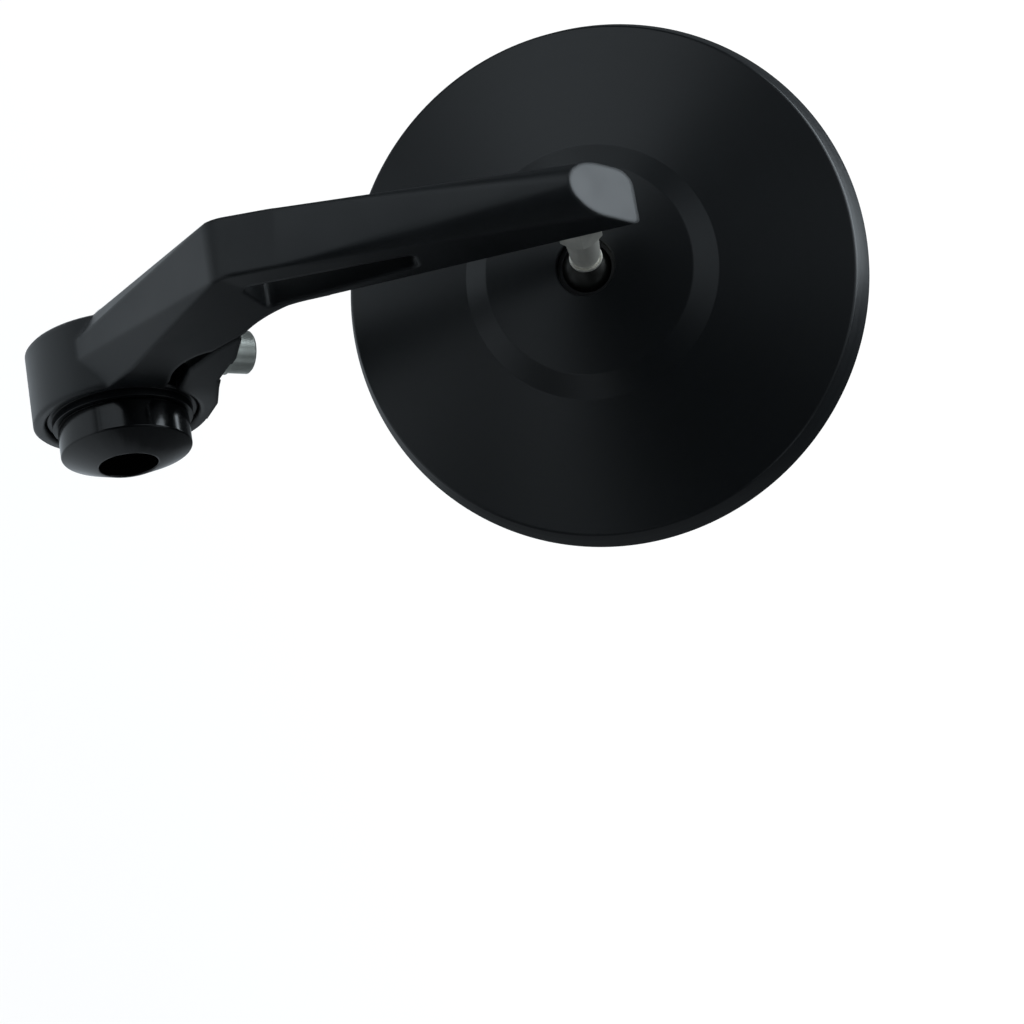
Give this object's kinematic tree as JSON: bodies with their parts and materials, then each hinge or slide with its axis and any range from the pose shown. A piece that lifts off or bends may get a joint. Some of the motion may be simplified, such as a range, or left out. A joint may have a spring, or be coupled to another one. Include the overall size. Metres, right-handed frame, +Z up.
{
  "type": "motorcycle mirror",
  "caption": "Bar-end mirror: a milled, bent arm with a window clamps round a sleeve and end cap, and holds a turned round head with a flat glass on a ball stem.",
  "frame": {"origin": "on the handlebar's axis, at the sleeve's face that sits against the bar's end", "axes": "+X along the bar, outwards to the end cap; +Z up the arm; +Y from the arm towards the mirror head and its glass"},
  "size_m": [0.103, 0.1003, 0.1528],
  "materials": {
    "black_anodised": "satin",
    "gloss_black": "polished",
    "stainless": "satin",
    "zinc_plated": "satin",
    "nylon": "matte",
    "foam": "matte",
    "plate": "satin",
    "mirror_glass": "polished"
  },
  "bodies": {
    "bar_end": {"clamp_sleeve": "black_anodised", "end_cap": "gloss_black", "bar_screw": "stainless", "bar_washer": "zinc_plated", "bar_spring_washer": "zinc_plated"},
    "arm": {"mirror_arm": "black_anodised", "pinch_screw": "stainless", "pinch_washer": "stainless", "ball_stem": "stainless", "stem_washer": "stainless"},
    "socket_swivel": {"ball_cup": "nylon"},
    "socket_tilt": {"seat_ring": "nylon"},
    "head": {"head_shell": "black_anodised", "pressure_block": "zinc_plated", "wave_spring": "stainless", "retainer_plate": "zinc_plated", "retainer_screws": "stainless", "backing_plate": "plate", "glass_pad": "foam", "mirror_glass": "mirror_glass"}
  },
  "joints": [
    {"name": "arm_swing", "type": "hinge", "parent": "bar_end", "child": "arm", "pos_m": [0, 0, 0], "axis": [1, 0, 0], "continuous": true},
    {"name": "head_swivel", "type": "hinge", "parent": "arm", "child": "socket_swivel", "pos_m": [0.01049, 0.03449, 0.09172], "axis": [0.1719, 0.8523, -0.494], "continuous": true},
    {"name": "head_tilt", "type": "hinge", "parent": "socket_swivel", "child": "socket_tilt", "pos_m": [0.01049, 0.03449, 0.09172], "axis": [0.3754, 0.407, 0.8327], "range_deg": [-22.9, 4.5]},
    {"name": "head_spin", "type": "hinge", "parent": "socket_tilt", "child": "head", "pos_m": [0.01049, 0.03449, 0.09172], "axis": [-0.196, 0.913, -0.3578], "continuous": true}
  ]
}
